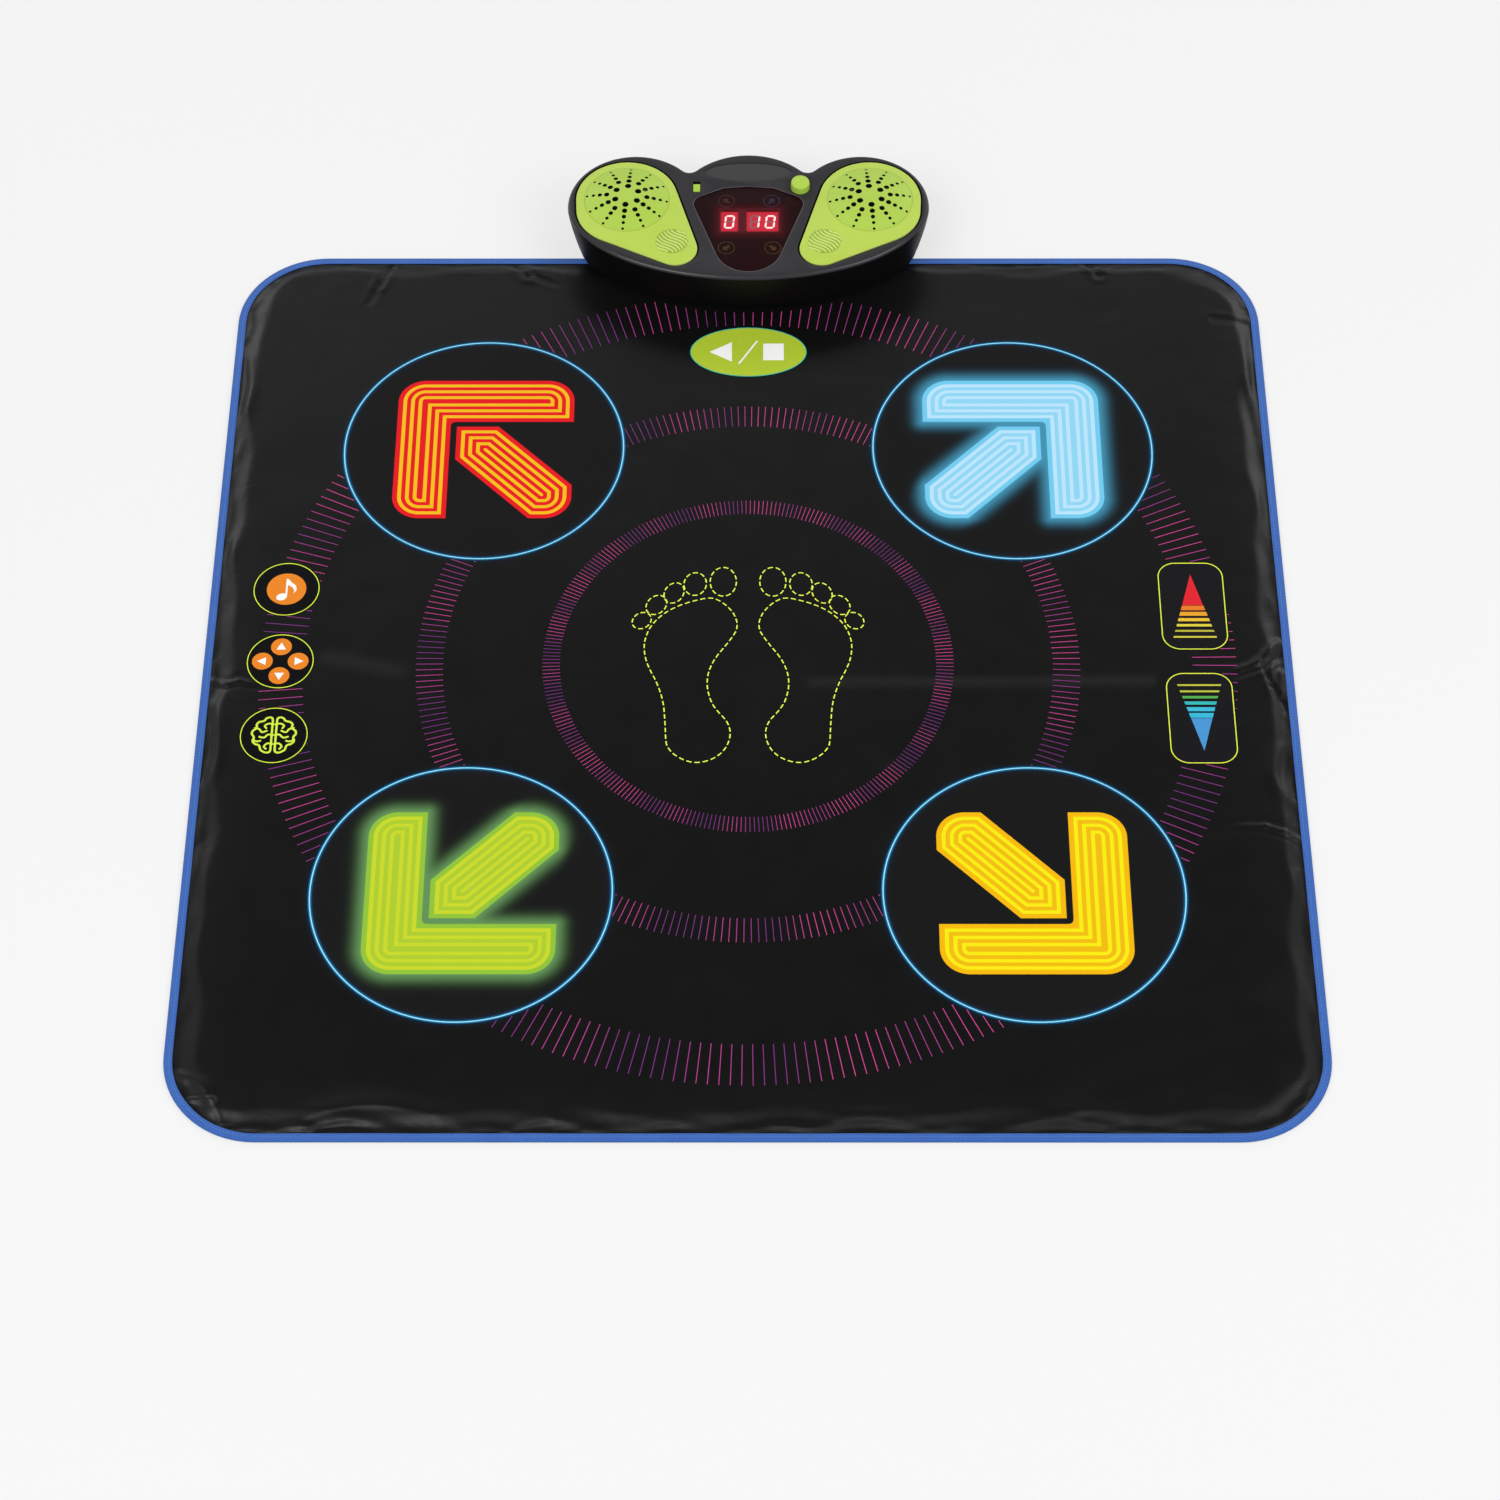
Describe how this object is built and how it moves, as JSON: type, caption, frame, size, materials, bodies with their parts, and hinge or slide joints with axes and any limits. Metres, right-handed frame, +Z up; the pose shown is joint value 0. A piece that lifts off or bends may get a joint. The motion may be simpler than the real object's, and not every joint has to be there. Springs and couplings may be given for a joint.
{
  "type": "light-up dance mat",
  "caption": "Square foam-cored dance mat with lit arrow pads, small touch zones and a control box with speakers on its rear edge.",
  "frame": {"origin": "on the floor under the middle of the square mat", "axes": "+X to the player's right, +Y away from the player to the control box, +Z up"},
  "size_m": [0.9018, 0.9783, 0.0637],
  "materials": {
    "black_vinyl": "glossy printed vinyl sheet",
    "non_slip_backing": "matt dotted backing",
    "foam": "closed-cell foam",
    "printed_film": "clear film with printed tracks",
    "blue_binding": "woven tape",
    "clear_acrylic": "clear light guide",
    "circuit_board": "solder-masked board",
    "charcoal_plastic": "satin moulded plastic",
    "lime_plastic": "satin moulded plastic",
    "smoked_red_acrylic": "polished tinted window",
    "display_red": "lit segments in a dark block",
    "plated_steel": "zinc plated",
    "speaker_paper": "pressed paper",
    "rubber": "matt",
    "cell_jacket": "plain printed sleeve",
    "ribbon_grey": "flat cable",
    "switch_black": "moulded"
  },
  "bodies": {
    "mat_and_box": {"base_sheet": "non_slip_backing", "top_sheet": "black_vinyl", "foam_core": "foam", "contact_film": "printed_film", "spacer_sheet": "foam", "edge_binding": "blue_binding", "light_guide_front_left": "clear_acrylic", "light_guide_rear_left": "clear_acrylic", "light_guide_front_right": "clear_acrylic", "light_guide_rear_right": "clear_acrylic", "led_board_front_left": "circuit_board", "led_board_rear_left": "circuit_board", "led_board_front_right": "circuit_board", "led_board_rear_right": "circuit_board", "clamp_strip": "plated_steel", "mat_screw_left": "plated_steel", "mat_screw_right": "plated_steel", "ribbon_cable": "ribbon_grey", "upper_housing": "charcoal_plastic", "lower_housing": "charcoal_plastic", "housing_screw_1": "plated_steel", "housing_screw_2": "plated_steel", "housing_screw_3": "plated_steel", "housing_screw_4": "plated_steel", "rubber_foot_1": "rubber", "rubber_foot_2": "rubber", "rubber_foot_3": "rubber", "rubber_foot_4": "rubber", "speaker_grille_left": "lime_plastic", "speaker_grille_right": "lime_plastic", "speaker_frame_left": "plated_steel", "speaker_frame_right": "plated_steel", "speaker_cone_left": "speaker_paper", "speaker_cone_right": "speaker_paper", "display_lens": "smoked_red_acrylic", "score_display": "display_red", "level_display": "display_red", "main_board": "circuit_board", "tact_switch": "switch_black", "power_switch_body": "switch_black", "battery_1": "cell_jacket", "battery_2": "cell_jacket", "battery_3": "cell_jacket", "battery_4": "cell_jacket", "battery_contact_left": "plated_steel", "battery_contact_right": "plated_steel"},
    "arrow_front_left": {"arrow_pad_front_left": "black_vinyl"},
    "arrow_rear_left": {"arrow_pad_rear_left": "black_vinyl"},
    "arrow_front_right": {"arrow_pad_front_right": "black_vinyl"},
    "arrow_rear_right": {"arrow_pad_rear_right": "black_vinyl"},
    "play_stop": {"play_stop_pad": "black_vinyl"},
    "mode_rear": {"mode_pad_rear": "black_vinyl"},
    "mode_middle": {"mode_pad_middle": "black_vinyl"},
    "mode_front": {"mode_pad_front": "black_vinyl"},
    "level_up": {"level_up_pad": "black_vinyl"},
    "level_down": {"level_down_pad": "black_vinyl"},
    "start": {"start_button": "lime_plastic"},
    "power": {"power_switch_knob": "lime_plastic"},
    "cover": {"battery_cover": "charcoal_plastic"}
  },
  "joints": [
    {"name": "arrow_front_left_press", "type": "slide", "parent": "mat_and_box", "child": "arrow_front_left", "axis": [0, 0, -1], "range_m": [0, 0.0015], "stiffness_N_per_m": 3000},
    {"name": "arrow_rear_left_press", "type": "slide", "parent": "mat_and_box", "child": "arrow_rear_left", "axis": [0, 0, -1], "range_m": [0, 0.0015], "stiffness_N_per_m": 3000},
    {"name": "arrow_front_right_press", "type": "slide", "parent": "mat_and_box", "child": "arrow_front_right", "axis": [0, 0, -1], "range_m": [0, 0.0015], "stiffness_N_per_m": 3000},
    {"name": "arrow_rear_right_press", "type": "slide", "parent": "mat_and_box", "child": "arrow_rear_right", "axis": [0, 0, -1], "range_m": [0, 0.0015], "stiffness_N_per_m": 3000},
    {"name": "play_stop_press", "type": "slide", "parent": "mat_and_box", "child": "play_stop", "axis": [0, 0, -1], "range_m": [0, 0.0015], "stiffness_N_per_m": 800},
    {"name": "mode_rear_press", "type": "slide", "parent": "mat_and_box", "child": "mode_rear", "axis": [0, 0, -1], "range_m": [0, 0.0015], "stiffness_N_per_m": 800},
    {"name": "mode_middle_press", "type": "slide", "parent": "mat_and_box", "child": "mode_middle", "axis": [0, 0, -1], "range_m": [0, 0.0015], "stiffness_N_per_m": 800},
    {"name": "mode_front_press", "type": "slide", "parent": "mat_and_box", "child": "mode_front", "axis": [0, 0, -1], "range_m": [0, 0.0015], "stiffness_N_per_m": 800},
    {"name": "level_up_press", "type": "slide", "parent": "mat_and_box", "child": "level_up", "axis": [0, 0, -1], "range_m": [0, 0.0015], "stiffness_N_per_m": 800},
    {"name": "level_down_press", "type": "slide", "parent": "mat_and_box", "child": "level_down", "axis": [0, 0, -1], "range_m": [0, 0.0015], "stiffness_N_per_m": 800},
    {"name": "start_press", "type": "slide", "parent": "mat_and_box", "child": "start", "axis": [0, 0, -1], "range_m": [0, 0.002], "stiffness_N_per_m": 600},
    {"name": "power_slide", "type": "slide", "parent": "mat_and_box", "child": "power", "axis": [0, 1, 0], "range_m": [0, 0.0034]},
    {"name": "cover_slide", "type": "slide", "parent": "mat_and_box", "child": "cover", "axis": [0, 1, 0], "range_m": [0, 0.036]}
  ]
}
